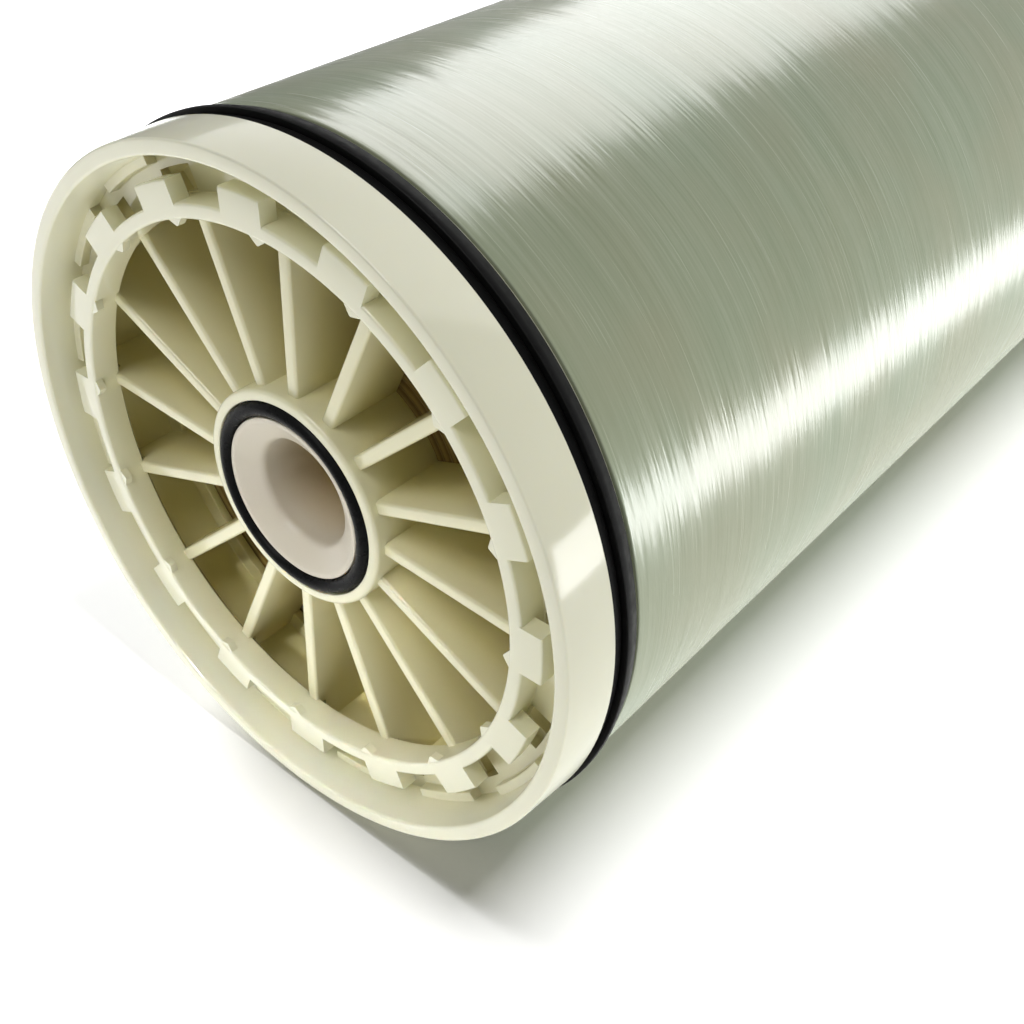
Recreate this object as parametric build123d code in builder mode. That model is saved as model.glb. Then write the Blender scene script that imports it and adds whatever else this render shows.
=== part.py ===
from build123d import *
import os

# Spiral-wound reverse osmosis element, 8 inch class, with interlocking end caps.
# It stands on its discharge end, with the feed end up and the axis on +Z. Sizes are in millimetres.

# Overall lengths and the wound shell
net_length = 1016.0
shell_diameter = 200.0
shell_wall = 3.5
bond_gap = 0.1

# End caps: skirt, seal groove and the wall round the blades
cap_step = 0.5
cap_depth = 35.0
skirt_length = 15.9
skirt_draft = 0.9
rim_land = 4.3
rim_chamfer = 0.5
wall_draft = 1.1
seal_groove_width = 8.3
seal_groove_depth = 6.4
rear_flange = 1.2
cap_wall = 4.0
rear_lip_width = 6.0
rear_lip_height = 2.5
discharge_skirt = 16.0
shoulder_chamfer = 1.2

# Interlock between elements: ring, tabs, channel and spigot
tab_count = 16
ring_setback = 4.9
ring_wall = 4.0
ring_chamfer = 0.7
tab_reach = 5.9
tab_width = 14.0
tab_height = 5.0
tab_chamfer = 0.5
channel_depth = 13.2
channel_floor = 2.4
ledge_width = 2.5
ledge_drop = 0.3
window_width = 13.0
window_inset = 0.4
spigot_clearance = 0.3
spigot_tip_wall = 2.8
spigot_end_gap = 0.5
bead_height = 0.7
bead_width = 2.0
bead_gap = 0.4

# Blades
blade_count = 16
blade_thickness = 3.9
blade_setback = 12.2
blade_chamfer = 0.7
blade_phase = -3.5
blade_embed = 1.0
nub_width = 5.0
nub_reach = 1.8
nub_height = 2.5
discharge_blade_setback = 4.0

# Permeate tube, hub and face seal
tube_bore = 31.0
tube_wall = 4.0
collar_step = 4.4
collar_height = 9.0
mouth_land = 1.5
mouth_depth = 4.2
hub_setback = 9.5
hub_lip = 3.2
hub_chamfer = 0.9
o_ring_cord = 4.4
o_ring_facets = 12
o_ring_side_gap = 0.15
o_ring_proud = 1.1
nose_gap = 0.2
nose_wall = 8.0
perforation_diameter = 3.0
perforation_rows = 2

# Brine seal
lip_proud = 0.9
lip_land = 1.5
lip_setback = 3.4
lip_groove_depth = 2.6
seal_front_drop = 0.9
seal_rear_drop = 0.3

# Membrane roll
seam_pitch = 26.0
seam_width = 1.6
seam_depth = 1.0
seam_margin = 4.0

# Radii worked inward from the shell
shell_radius = shell_diameter / 2
shell_inner_radius = shell_radius - shell_wall
socket_radius = shell_inner_radius - bond_gap
cap_radius = shell_radius + cap_step
rim_outer_radius = cap_radius - skirt_draft
rim_inner_radius = rim_outer_radius - rim_land
rim_radius = rim_inner_radius - wall_draft
groove_radius = cap_radius - seal_groove_depth
cavity_radius = groove_radius - cap_wall
ledge_radius = rim_radius - ledge_width
tab_radius = ledge_radius - spigot_tip_wall - 2 * spigot_clearance
ring_outer_radius = tab_radius - tab_reach
ring_inner_radius = ring_outer_radius - ring_wall
spigot_radius = rim_radius - spigot_clearance
spigot_tip_radius = ledge_radius - spigot_clearance
spigot_inner_radius = tab_radius + spigot_clearance

# Radii worked outward from the permeate bore
bore_radius = tube_bore / 2
tube_radius = bore_radius + tube_wall
collar_radius = tube_radius + collar_step
mouth_radius = collar_radius - mouth_land
o_ring_radius = collar_radius + o_ring_side_gap + o_ring_cord / 2
face_groove_radius = o_ring_radius + o_ring_cord / 2 + o_ring_side_gap
hub_radius = face_groove_radius + hub_lip

# Heights worked up from the discharge spigot's tip
shoulder = channel_depth - spigot_end_gap
top = shoulder + net_length
ring_front = top - ring_setback
tab_rear = ring_front - tab_height
ledge = tab_rear - ledge_drop
floor_top = top - channel_depth
floor_bottom = floor_top - channel_floor
blade_front = top - blade_setback
groove_front = top - skirt_length
groove_rear = groove_front - seal_groove_width
shell_top = groove_rear - rear_flange
shell_bottom = shoulder + discharge_skirt
roll_top = top - cap_depth
roll_bottom = shoulder + cap_depth
hub_front = top - hub_setback
face_groove_floor = hub_front - (o_ring_cord - o_ring_proud)
collar_seat = hub_front - collar_height
nose_face = shoulder - (hub_setback - nose_gap)
tube_bottom = nose_face + nose_wall
discharge_blade_front = shoulder + discharge_blade_setback

os.makedirs("parts", exist_ok=True)


# One feed blade, drawn in its own radial plane
with BuildPart() as feed_blade:
    with BuildSketch(Plane.XZ):
        with BuildLine():
            Polyline(
                (hub_radius - blade_embed, roll_top),
                (hub_radius - blade_embed, blade_front),
                (ring_inner_radius + ring_wall / 2, blade_front),
                (ring_inner_radius + ring_wall / 2, floor_bottom),
                (cavity_radius + blade_embed, floor_bottom),
                (cavity_radius + blade_embed, roll_top),
                close=True,
            )
        make_face()
    extrude(amount=blade_thickness / 2, both=True)
    front_edges = feed_blade.edges().filter_by(Axis.X).group_by(Axis.Z)[-1]
    chamfer(front_edges, blade_chamfer)

# One pointed nub on the ring's front inner edge, over a blade
with BuildPart() as nub:
    with BuildSketch(Plane.XY.offset(ring_front - nub_height)):
        with BuildLine():
            Polyline(
                (ring_inner_radius - nub_reach, 0),
                (ring_inner_radius, nub_width / 2),
                (ring_inner_radius + ring_wall / 2, nub_width / 2),
                (ring_inner_radius + ring_wall / 2, -nub_width / 2),
                (ring_inner_radius, -nub_width / 2),
                close=True,
            )
        make_face()
    extrude(amount=nub_height - ring_chamfer / 2)

# One snap tab on the outside of the ring
with BuildPart() as tab:
    with BuildSketch(Plane.XY.offset(tab_rear)):
        Circle(tab_radius)
        Circle(ring_inner_radius + ring_wall / 2, mode=Mode.SUBTRACT)
        Rectangle(tab_radius, tab_width, align=(Align.MIN, Align.CENTER), mode=Mode.INTERSECT)
    extrude(amount=tab_height)
    chamfer(tab.faces().sort_by(Axis.Z)[-1].edges().sort_by(Axis.X)[-1], tab_chamfer)

# The core window under one tab: a notch in the ledge and a hole through the channel floor
with BuildPart() as tab_window:
    with BuildSketch(Plane.XY.offset(floor_top)):
        Circle(rim_radius)
        Circle(tab_radius, mode=Mode.SUBTRACT)
        Rectangle(rim_radius, window_width, align=(Align.MIN, Align.CENTER), mode=Mode.INTERSECT)
    extrude(amount=ledge - floor_top)
    with BuildSketch(Plane.XY.offset(floor_bottom)):
        Circle(cavity_radius - window_inset)
        Circle(ring_outer_radius + window_inset, mode=Mode.SUBTRACT)
        Rectangle(rim_radius, window_width, align=(Align.MIN, Align.CENTER), mode=Mode.INTERSECT)
    extrude(amount=channel_floor)

# Feed end cap
with BuildPart() as feed_end_cap:
    with BuildSketch(Plane.XZ) as wall_section:
        with BuildLine():
            Polyline(
                (rim_inner_radius, top),
                (rim_outer_radius, top),
                (cap_radius, groove_front),
                (groove_radius, groove_front),
                (groove_radius, groove_rear),
                (cap_radius, groove_rear),
                (cap_radius, shell_top),
                (socket_radius, shell_top),
                (socket_radius, roll_top),
                (cavity_radius - rear_lip_width, roll_top),
                (cavity_radius - rear_lip_width, roll_top + rear_lip_height),
                (cavity_radius, roll_top + rear_lip_height),
                (cavity_radius, floor_bottom),
                (ring_outer_radius, floor_bottom),
                (ring_inner_radius, floor_top),
                (ring_inner_radius, ring_front),
                (ring_outer_radius, ring_front),
                (ring_outer_radius, floor_top),
                (ledge_radius, floor_top),
                (ledge_radius, ledge),
                (rim_radius, ledge),
                close=True,
            )
        make_face()
        ring_corners = wall_section.vertices().filter_by_position(Axis.Y, ring_front - 0.01, ring_front + 0.01)
        chamfer(ring_corners, ring_chamfer)
        rim_corners = wall_section.vertices().filter_by_position(Axis.Y, top - 0.01, top + 0.01)
        chamfer(rim_corners, rim_chamfer)
    revolve(axis=Axis.Z)
    with BuildSketch(Plane.XZ) as hub_section:
        with BuildLine():
            Polyline(
                (collar_radius + bond_gap, face_groove_floor),
                (face_groove_radius, face_groove_floor),
                (face_groove_radius, hub_front),
                (hub_radius, hub_front),
                (hub_radius, roll_top),
                (tube_radius + bond_gap, roll_top),
                (tube_radius + bond_gap, collar_seat),
                (collar_radius + bond_gap, collar_seat),
                close=True,
            )
        make_face()
        hub_corner = hub_section.vertices().group_by(Axis.Y)[-1].sort_by(Axis.X)[-1]
        chamfer(hub_corner, hub_chamfer)
    revolve(axis=Axis.Z)
    with PolarLocations(0, blade_count, start_angle=blade_phase):
        add(feed_blade.part)
        add(nub.part)
    with PolarLocations(0, tab_count):
        add(tab.part)
    with PolarLocations(0, tab_count):
        add(tab_window.part, mode=Mode.SUBTRACT)

feed_end_cap.part.label = "feed_end_cap"
export_step(feed_end_cap.part, "parts/feed_end_cap.step")


# O-ring in the hub's face, held between the tube's collar and the hub's lip.
# Its cord is drawn with twelve sides to keep the facets few.
with BuildPart() as hub_o_ring:
    with BuildSketch(Plane.XZ):
        with Locations((o_ring_radius, face_groove_floor + o_ring_cord / 2)):
            RegularPolygon(o_ring_cord / 2, o_ring_facets)
    revolve(axis=Axis.Z)

hub_o_ring.part.label = "hub_o_ring"
export_step(hub_o_ring.part, "parts/hub_o_ring.step")


# Brine seal: a rubber ring whose lip leans out towards the feed end
lip_radius = cap_radius + lip_proud
lip_front = groove_front - lip_setback
with BuildPart() as brine_seal:
    with BuildSketch(Plane.XZ):
        with BuildLine():
            Polyline(
                (groove_radius + bond_gap, groove_rear),
                (groove_radius + bond_gap, groove_front),
                (cap_radius - seal_front_drop, groove_front),
                (cap_radius - seal_front_drop, lip_front),
                (cap_radius - lip_groove_depth, lip_front - lip_land / 2),
                (lip_radius, lip_front),
                (lip_radius, lip_front - lip_land),
                (cap_radius - seal_rear_drop, groove_rear),
                close=True,
            )
        make_face()
    revolve(axis=Axis.Z)

brine_seal.part.label = "brine_seal"
export_step(brine_seal.part, "parts/brine_seal.step")


# Filament-wound shell, bonded over both caps and the roll
with BuildPart() as fibreglass_shell:
    with BuildSketch(Plane.XY.offset(shell_bottom)):
        Circle(shell_radius)
        Circle(shell_inner_radius, mode=Mode.SUBTRACT)
    extrude(amount=shell_top - shell_bottom)

fibreglass_shell.part.label = "fibreglass_shell"
export_step(fibreglass_shell.part, "parts/fibreglass_shell.step")


# Permeate tube: collar and bevelled mouth at the feed end, cross holes along its length
with BuildPart() as permeate_tube:
    with BuildSketch(Plane.XZ):
        with BuildLine():
            Polyline(
                (bore_radius, tube_bottom),
                (tube_radius, tube_bottom),
                (tube_radius, collar_seat),
                (collar_radius, collar_seat),
                (collar_radius, hub_front),
                (mouth_radius, hub_front),
                (bore_radius, hub_front - mouth_depth),
                close=True,
            )
        make_face()
    revolve(axis=Axis.Z)
    perforation_step = (roll_top - roll_bottom) / perforation_rows
    for row in range(perforation_rows):
        row_height = roll_bottom + perforation_step * (row + 0.5)
        with Locations((0, 0, row_height)):
            Cylinder(
                perforation_diameter / 2,
                2 * tube_radius + bond_gap,
                rotation=(90, 0, 90 * (row % 2)),
                mode=Mode.SUBTRACT,
            )

permeate_tube.part.label = "permeate_tube"
export_step(permeate_tube.part, "parts/permeate_tube.step")


# Membrane roll: one solid, with the seam of its turns as a spiral of half circles on both ends
roll_radius = shell_inner_radius - bond_gap
roll_bore_radius = tube_radius + bond_gap
seam_start = roll_bore_radius + seam_margin
half_turns = int((roll_radius - seam_margin - seam_start) / (seam_pitch / 2)) - 1
with BuildPart() as membrane_roll:
    with BuildSketch(Plane.XY.offset(roll_bottom)):
        Circle(roll_radius)
        Circle(roll_bore_radius, mode=Mode.SUBTRACT)
    extrude(amount=roll_top - roll_bottom)
    for seam_floor in (roll_bottom, roll_top - seam_depth):
        with BuildSketch(Plane.XY.offset(seam_floor)):
            with BuildLine():
                for half_turn in range(half_turns):
                    odd = half_turn % 2
                    CenterArc(
                        (odd * seam_pitch / 2, 0),
                        seam_start + half_turn * seam_pitch / 2,
                        180 * odd,
                        180,
                    )
            trace(line_width=seam_width)
        extrude(amount=seam_depth, mode=Mode.SUBTRACT)

membrane_roll.part.label = "membrane_roll"
export_step(membrane_roll.part, "parts/membrane_roll.step")


# One discharge blade, drawn in its own radial plane
with BuildPart() as discharge_blade:
    with BuildSketch(Plane.XZ):
        with BuildLine():
            Polyline(
                (hub_radius - blade_embed, discharge_blade_front),
                (spigot_inner_radius + blade_embed, discharge_blade_front),
                (spigot_inner_radius + blade_embed, roll_bottom),
                (hub_radius - blade_embed, roll_bottom),
                close=True,
            )
        make_face()
    extrude(amount=blade_thickness / 2, both=True)
    front_edges = discharge_blade.edges().filter_by(Axis.X).group_by(Axis.Z)[0]
    chamfer(front_edges, blade_chamfer)

# Discharge end cap, with the spigot that snaps over the next element's tabs
bead_top = shoulder - ring_setback - tab_height - bead_gap
spigot_step = shoulder - (top - ledge) + spigot_clearance
with BuildPart() as discharge_end_cap:
    with BuildSketch(Plane.XZ) as spigot_section:
        with BuildLine():
            Polyline(
                (spigot_inner_radius, 0),
                (spigot_tip_radius, 0),
                (spigot_tip_radius, spigot_step),
                (spigot_radius, spigot_step),
                (spigot_radius, shoulder),
                (cap_radius, shoulder),
                (cap_radius, shell_bottom),
                (socket_radius, shell_bottom),
                (socket_radius, roll_bottom),
                (spigot_inner_radius - rear_lip_width, roll_bottom),
                (spigot_inner_radius - rear_lip_width, roll_bottom - rear_lip_height),
                (spigot_inner_radius, roll_bottom - rear_lip_height),
                (spigot_inner_radius, bead_top),
                (spigot_inner_radius - bead_height, bead_top - bead_height),
                (spigot_inner_radius - bead_height, bead_top - bead_width + bead_height),
                (spigot_inner_radius, bead_top - bead_width),
                close=True,
            )
        make_face()
        shoulder_corner = spigot_section.vertices().group_by(Axis.X)[-1].sort_by(Axis.Y)[0]
        chamfer(shoulder_corner, shoulder_chamfer)
    revolve(axis=Axis.Z)
    with BuildSketch(Plane.XZ) as nose_section:
        with BuildLine():
            Polyline(
                (bore_radius, nose_face),
                (hub_radius, nose_face),
                (hub_radius, roll_bottom),
                (tube_radius + bond_gap, roll_bottom),
                (tube_radius + bond_gap, tube_bottom),
                (bore_radius, tube_bottom),
                close=True,
            )
        make_face()
        nose_corners = nose_section.vertices().group_by(Axis.Y)[0]
        chamfer(nose_corners, hub_chamfer)
    revolve(axis=Axis.Z)
    with PolarLocations(0, blade_count, start_angle=blade_phase):
        add(discharge_blade.part)

discharge_end_cap.part.label = "discharge_end_cap"
export_step(discharge_end_cap.part, "parts/discharge_end_cap.step")
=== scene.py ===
import math

import bpy
from mathutils import Matrix, Vector


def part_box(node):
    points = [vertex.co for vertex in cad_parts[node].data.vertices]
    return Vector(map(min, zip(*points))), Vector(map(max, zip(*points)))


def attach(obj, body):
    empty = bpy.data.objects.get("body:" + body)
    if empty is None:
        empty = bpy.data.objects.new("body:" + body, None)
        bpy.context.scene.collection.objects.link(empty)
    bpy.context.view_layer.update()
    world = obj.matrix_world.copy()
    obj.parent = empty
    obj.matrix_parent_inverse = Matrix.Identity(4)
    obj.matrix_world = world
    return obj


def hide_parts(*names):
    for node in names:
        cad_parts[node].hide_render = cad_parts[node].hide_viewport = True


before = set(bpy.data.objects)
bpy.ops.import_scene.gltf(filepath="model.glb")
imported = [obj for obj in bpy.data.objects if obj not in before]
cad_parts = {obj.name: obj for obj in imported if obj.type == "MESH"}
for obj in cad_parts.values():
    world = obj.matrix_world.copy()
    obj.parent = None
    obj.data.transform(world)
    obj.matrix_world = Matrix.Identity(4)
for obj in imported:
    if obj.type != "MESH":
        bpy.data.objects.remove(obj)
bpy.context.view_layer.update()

bl_info = {
    "name": "Reverse Osmosis Element",
    "version": (1, 0, 0),
    "blender": (4, 5, 0),
    "location": "View3D > Sidebar > Element",
    "description": "Models a spiral-wound reverse osmosis element over its CAD frame",
    "category": "Object",
}

MM = 0.001
FULL_TURN = 2 * math.pi
ALONG_X = (1, 0, 0)
ALONG_Y = (0, 1, 0)
ALONG_Z = (0, 0, 1)
WHITE = (1.0, 1.0, 1.0, 1.0)
ROOT_BODY = "root"

# Gaps below which points are one point, a face is a sliver, and a point lies on a line or face
DRAWN_GAP = 0.001 * MM
WELD_GAP = 0.002 * MM
SLIVER_WIDTH = 0.01 * MM
NEAR = 0.01 * MM
# How far a blade or a cutter reaches into its neighbour, so that the two join or part cleanly
EMBED = 1 * MM

# Steps round a turned piece and a cord, along an arc, and across a rounding
TUBE_STEPS = 128
ROLL_STEPS = 96
CORD_SIDES = 32
ARC_STEPS = 4
CORNER_SEGMENTS = 4
BEVEL_SEGMENTS = 3

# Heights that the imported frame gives, in metres from the floor it stands on
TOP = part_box("feed_end_cap")[1].z
SHELL_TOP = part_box("fibreglass_shell")[1].z
SHELL_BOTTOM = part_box("fibreglass_shell")[0].z
ROLL_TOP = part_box("membrane_roll")[1].z
ROLL_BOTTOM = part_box("membrane_roll")[0].z
HUB_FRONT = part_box("permeate_tube")[1].z
TUBE_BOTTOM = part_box("permeate_tube")[0].z
GROOVE_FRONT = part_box("brine_seal")[1].z
GROOVE_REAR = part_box("brine_seal")[0].z
CORD_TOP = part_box("hub_o_ring")[1].z
CORD_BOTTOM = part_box("hub_o_ring")[0].z

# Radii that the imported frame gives
CAP_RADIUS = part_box("discharge_end_cap")[1].x
SHELL_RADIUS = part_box("fibreglass_shell")[1].x
ROLL_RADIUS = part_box("membrane_roll")[1].x
COLLAR_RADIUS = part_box("permeate_tube")[1].x
# The lip keeps inside the CAD box, whose facets cut a little off the circle
FACET_CUT = 0.05 * MM
LIP_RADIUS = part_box("brine_seal")[1].x - FACET_CUT


def length(label, about, millimetres):
    """A size that a user may change, held in metres and shown in the scene's unit."""
    return bpy.props.FloatProperty(
        name=label, description=about, default=millimetres * MM, min=0.0, unit="LENGTH", precision=5
    )


def tint(label, about, sheet_colour):
    """A colour that a user may change, written as an sRGB hex value."""
    default = linear(sheet_colour)
    return bpy.props.FloatVectorProperty(
        name=label, description=about, default=default, subtype="COLOR", size=4, min=0.0, max=1.0
    )


def linear(hex_colour):
    """An sRGB hex value as linear red, green, blue and alpha."""
    channels = []
    for start in (1, 3, 5):
        share = int(hex_colour[start:start + 2], 16) / 255
        if share <= 0.04045:
            channels.append(share / 12.92)
        else:
            channels.append(((share + 0.055) / 1.055) ** 2.4)
    return (*channels, 1.0)


class CapSizes(bpy.types.PropertyGroup):
    """Sizes of the two moulded end caps."""

    skirt_draft: length("Skirt draft", "How far the skirt draws in towards the rim", 0.9)
    rim_land: length("Rim land", "Width of the rim's front face", 4.3)
    rim_rounding: length("Rim rounding", "Rounding of the rim's outer edge", 0.6)
    wall_draft: length("Wall draft", "How far the channel's wall draws in towards the ledge", 1.1)
    groove_depth: length("Seal groove depth", "Depth of the groove behind the skirt", 6.4)
    flange_step: length("Flange step", "How far the flange behind the seal lies below the skirt", 1.4)
    socket_step: length("Socket step", "How far the cap steps in to fit the shell", 4.1)
    cap_wall: length("Cap wall", "Wall between the seal groove and the cavity", 4.0)
    lip_width: length("Rear lip width", "Width of the lip that faces the roll", 6.0)
    lip_height: length("Rear lip height", "Height of the lip that faces the roll", 2.5)
    channel_depth: length("Channel depth", "Depth of the channel for the next spigot", 13.2)
    channel_floor: length("Channel floor", "Thickness of the channel's floor", 2.4)
    ledge_width: length("Ledge width", "Width of the ledge under the rim", 2.5)
    ledge_depth: length("Ledge depth", "Depth of the ledge below the rim", 10.2)
    ring_setback: length("Ring setback", "How far the ring lies behind the rim", 4.9)
    ring_radius: length("Ring radius", "Outer radius of the ring", 82.4)
    ring_wall: length("Ring wall", "Thickness of the ring", 4.0)
    tab_radius: length("Tab radius", "Radius over the tabs", 88.3)
    tab_width: length("Tab width", "Width of one tab", 14.0)
    tab_height: length("Tab height", "Height of one tab", 5.0)
    window_width: length("Window width", "Width of the core window under a tab", 13.0)
    window_inset: length("Window inset", "Web left beside a window", 0.4)
    blade_thickness: length("Blade thickness", "Thickness of one blade", 3.9)
    blade_setback: length("Blade setback", "How far the feed blades lie behind the rim", 12.2)
    nub_width: length("Nub width", "Width of the nub over a blade", 5.0)
    nub_reach: length("Nub reach", "How far a nub points in from the ring", 1.8)
    nub_height: length("Nub height", "Height of a nub", 2.5)
    hub_radius: length("Hub radius", "Outer radius of the hub", 31.8)
    face_groove_radius: length("Face groove radius", "Outer radius of the O-ring's groove", 28.6)
    collar_depth: length("Collar depth", "Depth of the tube's seat in the hub", 9.0)
    edge_rounding: length("Edge rounding", "Rounding of the moulded edges", 0.8)
    spigot_radius: length("Spigot radius", "Outer radius of the discharge spigot", 93.9)
    spigot_tip_radius: length("Spigot tip radius", "Outer radius of the spigot's tip", 91.4)
    spigot_bore: length("Spigot bore", "Inner radius of the discharge spigot", 88.6)
    spigot_step: length("Spigot step", "Height of the spigot's tip", 2.8)
    shoulder: length("Shoulder", "Height of the discharge cap's shoulder", 12.7)
    discharge_blades: length("Discharge blades", "Height of the discharge blades' front", 16.7)
    nose_height: length("Nose height", "Height of the discharge nose's face", 3.4)
    blade_count: bpy.props.IntProperty(
        name="Blades", description="Blades, and tabs, in one cap", default=16, min=3
    )
    blade_phase: bpy.props.FloatProperty(
        name="Blade phase",
        description="Angle from a tab to the next blade",
        default=math.radians(-3.5),
        subtype="ANGLE",
    )
    spin_steps: bpy.props.IntProperty(
        name="Spin steps", description="Steps round a turned cap", default=192, min=48
    )


class TubeSizes(bpy.types.PropertyGroup):
    """Sizes of the permeate tube, its seals, the shell and the roll."""

    bore_radius: length("Bore radius", "Radius of the permeate bore", 15.5)
    tube_radius: length("Tube radius", "Outer radius of the permeate tube", 19.5)
    mouth_radius: length("Mouth radius", "Radius of the bore's bevelled mouth", 22.4)
    mouth_depth: length("Mouth depth", "Depth of the bore's bevelled mouth", 4.2)
    mouth_rounding: length("Mouth rounding", "Rounding where the bevel meets the bore", 1.6)
    bond_gap: length("Bond gap", "Gap filled by the adhesive", 0.1)
    seal_front: length("Seal front", "Radius of the brine seal's front half", 99.6)
    seal_rear: length("Seal rear", "Radius of the brine seal's rear edge", 100.2)
    seal_seat: length("Seal seat", "Inner radius of the brine seal", 94.2)
    seal_notch: length("Seal notch", "Radius at the bottom of the seal's notch", 97.9)
    lip_front: length("Lip setback", "How far the lip lies behind the seal's front", 3.4)
    lip_land: length("Lip land", "Width of the lip's land", 1.5)
    shell_wall: length("Shell wall", "Wall of the wound shell", 3.5)
    leaf_pitch: length("Leaf pitch", "Spacing of the leaf edges on the roll's ends", 3.0)
    leaf_depth: length("Leaf depth", "Depth between two leaf edges", 0.8)


class FinishColours(bpy.types.PropertyGroup):
    """Colours of the finishes."""

    ivory: tint("Ivory", "Moulded end caps", "#E7E6CD")
    # Painted shade: the yellower ivory that stands for light bounced between the walls deep inside a cap
    painted_shade_ivory: tint("Deep ivory", "Moulded end caps, deep inside", "#DDD59F")
    tube_white: tint("Tube white", "Permeate tube", "#CCC4B1")
    # Painted shade deep in the permeate bore, not the tube's own colour
    painted_bore_shade: tint("Bore tan", "Wall of the permeate bore", "#B8A272")
    seal_black: tint("Seal black", "O-ring and brine seal", "#070707")
    resin_green: tint("Resin green", "Resin-rich hollows of the shell", "#7F8B70")
    glass_grey: tint("Glass grey", "Glass-rich strands of the shell", "#99A28B")
    resin_tan: tint("Resin tan", "Browner patches of the shell", "#94957B")
    leaf_tan: tint("Leaf tan", "Edges of the membrane leaves", "#7E652E")
    leaf_white: tint("Leaf white", "Edges of the spacer between leaves", "#9C8548")
    stage_white: tint("Stage white", "Floor and backdrop", "#F4F4F4")


def add_node(tree, kind, sockets=None, **settings):
    """Adds a node, sets its properties, and sets or links its input sockets."""
    made = tree.nodes.new(kind)
    for name, value in settings.items():
        setattr(made, name, value)
    for name, value in (sockets or {}).items():
        if isinstance(value, bpy.types.NodeSocket):
            tree.links.new(value, made.inputs[name])
        else:
            made.inputs[name].default_value = value
    return made


def new_finish(name):
    """An empty node material and its tree."""
    finish = bpy.data.materials.new(name)
    finish.use_nodes = True
    finish.node_tree.nodes.clear()
    return finish, finish.node_tree


def show(tree, shader):
    """Joins a shader to the material's output."""
    add_node(tree, "ShaderNodeOutputMaterial", {"Surface": shader})


def moulded_abs(colours):
    """Ivory ABS, injection moulded: smooth and softly glossy, a little cloudy, with fine tool marks."""
    finish, tree = new_finish("moulded_ivory_abs")
    place = add_node(tree, "ShaderNodeTexCoord").outputs["Object"]
    # Cloudy tone about 60 mm across, from the melt's flow
    flow = add_node(tree, "ShaderNodeTexNoise", {"Vector": place, "Scale": 1 / (60 * MM), "Detail": 3.0})
    # Painted shade: the tone deepens towards the painted shade ivory from 4 mm to 22 mm below the rim,
    # inside a radius of 97 mm, for light that has bounced between the walls. The skirt stays pale.
    parts = add_node(tree, "ShaderNodeSeparateXYZ", {"Vector": place})
    depth = add_node(tree, "ShaderNodeMapRange", {
        "Value": parts.outputs["Z"],
        "From Min": TOP - 22 * MM, "From Max": TOP - 4 * MM, "To Min": 1.0, "To Max": 0.0,
    })
    flat = add_node(tree, "ShaderNodeCombineXYZ", {"X": parts.outputs["X"], "Y": parts.outputs["Y"]})
    radius = add_node(tree, "ShaderNodeVectorMath", {0: flat.outputs["Vector"]}, operation="LENGTH")
    inside = add_node(tree, "ShaderNodeMath", {
        0: radius.outputs["Value"], 1: 97 * MM,
    }, operation="LESS_THAN")
    share = add_node(tree, "ShaderNodeMath", {
        0: depth.outputs["Result"], 1: inside.outputs["Value"],
    }, operation="MULTIPLY")
    # Painted shade: ivory mixed with the painted shade ivory by depth below the rim and radius
    resin = add_node(tree, "ShaderNodeMix", {
        0: share.outputs["Value"], 6: tuple(colours.ivory), 7: tuple(colours.painted_shade_ivory),
    }, data_type="RGBA")
    cloud = add_node(tree, "ShaderNodeMapRange", {
        "Value": flow.outputs["Fac"], "From Min": 0.3, "From Max": 0.7, "To Min": 0.94, "To Max": 1.0,
    })
    tone = add_node(tree, "ShaderNodeMix", {
        0: 1.0, 6: resin.outputs[2], 7: cloud.outputs["Result"],
    }, data_type="RGBA", blend_type="MULTIPLY")
    # Polished tool marks about 1.5 mm across
    marks = add_node(tree, "ShaderNodeTexNoise", {
        "Vector": place, "Scale": 1 / (1.5 * MM), "Detail": 2.0,
    })
    sheen = add_node(tree, "ShaderNodeMapRange", {
        "Value": flow.outputs["Fac"], "From Min": 0.3, "From Max": 0.7, "To Min": 0.1, "To Max": 0.16,
    })
    relief = add_node(tree, "ShaderNodeBump", {
        "Strength": 0.05, "Distance": 0.1 * MM, "Height": marks.outputs["Fac"],
    })
    shader = add_node(tree, "ShaderNodeBsdfPrincipled", {
        "Base Color": tone.outputs[2],
        "Roughness": sheen.outputs["Result"],
        "IOR": 1.53,
        "Specular IOR Level": 0.6,
        "Subsurface Weight": 0.15,
        "Subsurface Radius": (1.0, 0.8, 0.4),
        "Subsurface Scale": 3 * MM,
        "Normal": relief.outputs["Normal"],
    }, subsurface_method="RANDOM_WALK")
    show(tree, shader.outputs["BSDF"])
    return finish


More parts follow.
